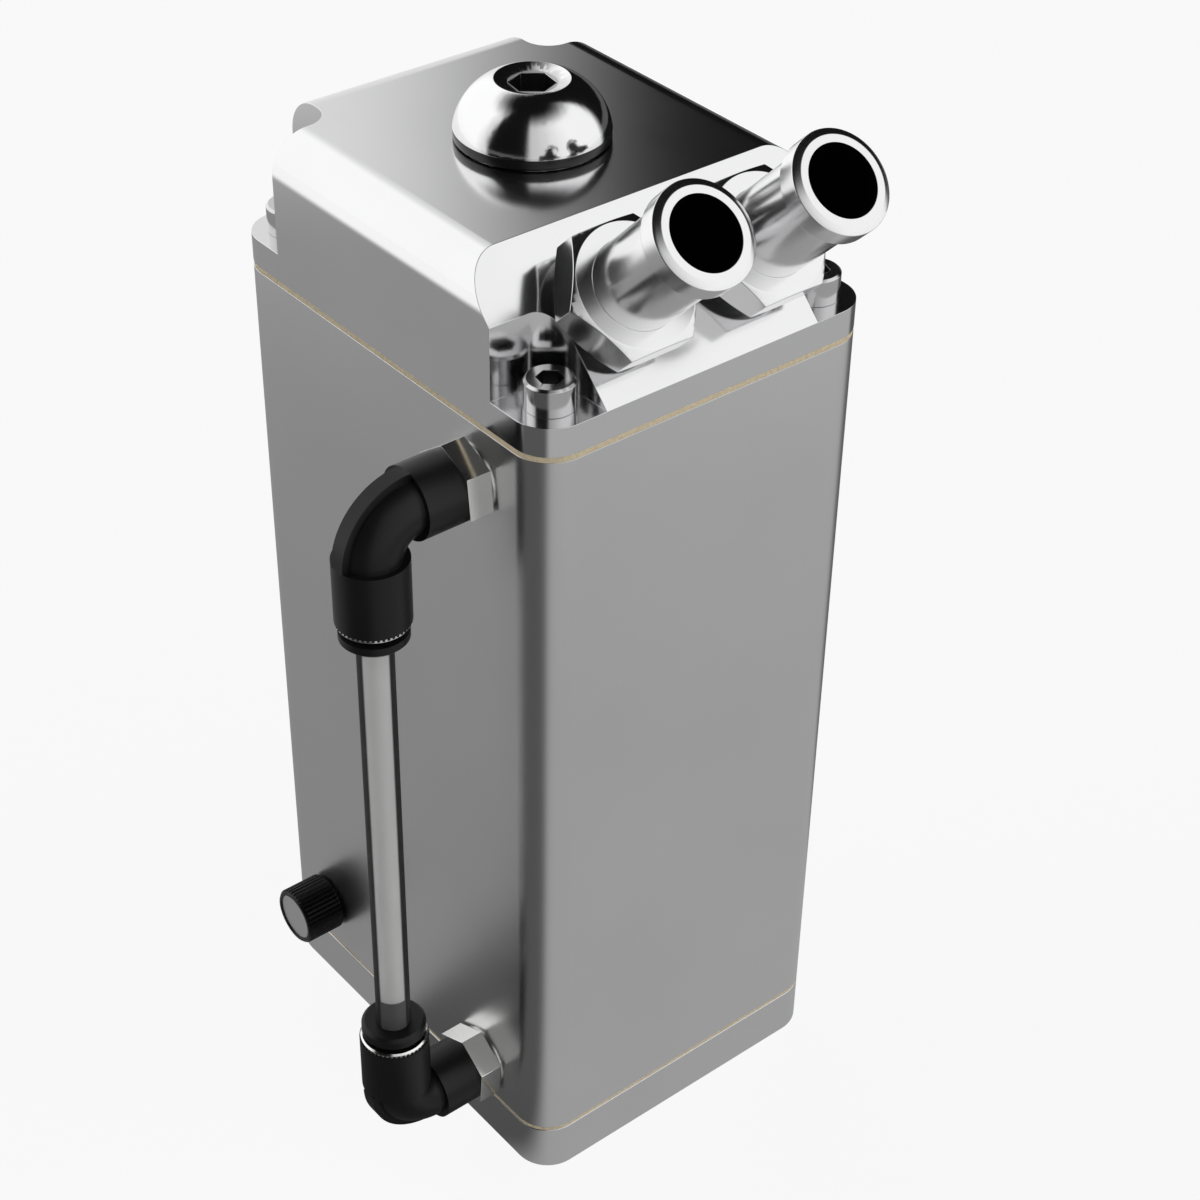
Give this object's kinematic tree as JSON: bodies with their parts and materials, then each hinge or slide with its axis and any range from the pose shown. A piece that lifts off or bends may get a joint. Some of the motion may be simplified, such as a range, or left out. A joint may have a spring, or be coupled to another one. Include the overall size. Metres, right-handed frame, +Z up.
{
  "type": "oil catch can",
  "caption": "Upright aluminium oil catch can with a sloped lid, angled hose tails, a side sight gauge, a domed filler plug and a knurled drain screw.",
  "frame": {"origin": "centre of the footprint on the underside of the base plate", "axes": "+Z up along the tank, -Y towards the front that the hose fittings lean over, -X towards the sight gauge and drain"},
  "size_m": [0.0963, 0.1036, 0.2081],
  "materials": {
    "satin_aluminium": "brushed and clear anodised",
    "polished_aluminium": "polished",
    "stainless_steel": "bright",
    "nickel_brass": "nickel plated",
    "black_plastic": "moulded, satin",
    "knob_plastic": "knurled",
    "black_rubber": "matt",
    "gasket_fibre": "cork and rubber sheet",
    "clear_tube": "clear, slightly milky"
  },
  "bodies": {
    "tank": {"base_plate": "satin_aluminium", "base_gasket": "gasket_fibre", "base_screws": "stainless_steel", "tank_body": "satin_aluminium", "baffle_plate": "satin_aluminium", "lid_gasket": "gasket_fibre", "lid": "polished_aluminium", "lid_screws": "stainless_steel", "left_port_seal": "black_rubber", "left_hose_fitting": "polished_aluminium", "right_port_seal": "black_rubber", "right_hose_fitting": "polished_aluminium", "upper_elbow_stud": "nickel_brass", "upper_elbow_body": "black_plastic", "upper_swivel_seal": "black_rubber", "upper_tube_seal": "black_rubber", "upper_grip_ring": "stainless_steel", "upper_guide_ring": "nickel_brass", "lower_elbow_stud": "nickel_brass", "lower_elbow_body": "black_plastic", "lower_swivel_seal": "black_rubber", "lower_tube_seal": "black_rubber", "lower_grip_ring": "stainless_steel", "lower_guide_ring": "nickel_brass", "sight_tube": "clear_tube"},
    "plug_ring": {"filler_plug_seal": "black_rubber"},
    "plug": {"filler_plug": "stainless_steel"},
    "drain_ring": {"drain_seal": "black_rubber"},
    "drain": {"drain_screw": "satin_aluminium", "drain_knob": "knob_plastic"},
    "upper_collet": {"upper_release_collet": "black_plastic"},
    "lower_collet": {"lower_release_collet": "black_plastic"}
  },
  "joints": [
    {"name": "filler_plug_lift", "type": "slide", "parent": "tank", "child": "plug_ring", "axis": [0, 0, 1], "range_m": [0, 0.009]},
    {"name": "filler_plug_turn", "type": "hinge", "parent": "plug_ring", "child": "plug", "pos_m": [0, 0.0043, 0.1911], "axis": [0, 0, 1], "range_deg": [0, 2160]},
    {"name": "drain_screw_travel", "type": "slide", "parent": "tank", "child": "drain_ring", "axis": [-1, 0, 0], "range_m": [0, 0.006]},
    {"name": "drain_screw_turn", "type": "hinge", "parent": "drain_ring", "child": "drain", "pos_m": [-0.0353, 0.0274, 0.0209], "axis": [-1, 0, 0], "range_deg": [0, 2160]},
    {"name": "upper_collet_press", "type": "slide", "parent": "tank", "child": "upper_collet", "axis": [0, 0, 1], "range_m": [0, 0.001], "stiffness_N_per_m": 1000},
    {"name": "lower_collet_press", "type": "slide", "parent": "tank", "child": "lower_collet", "axis": [0, 0, -1], "range_m": [0, 0.001], "stiffness_N_per_m": 1000}
  ],
  "couplings": [
    {"joint": "filler_plug_turn", "follows": "filler_plug_lift", "rad_per_m": 4188.8},
    {"joint": "drain_screw_turn", "follows": "drain_screw_travel", "rad_per_m": 6283.2}
  ]
}
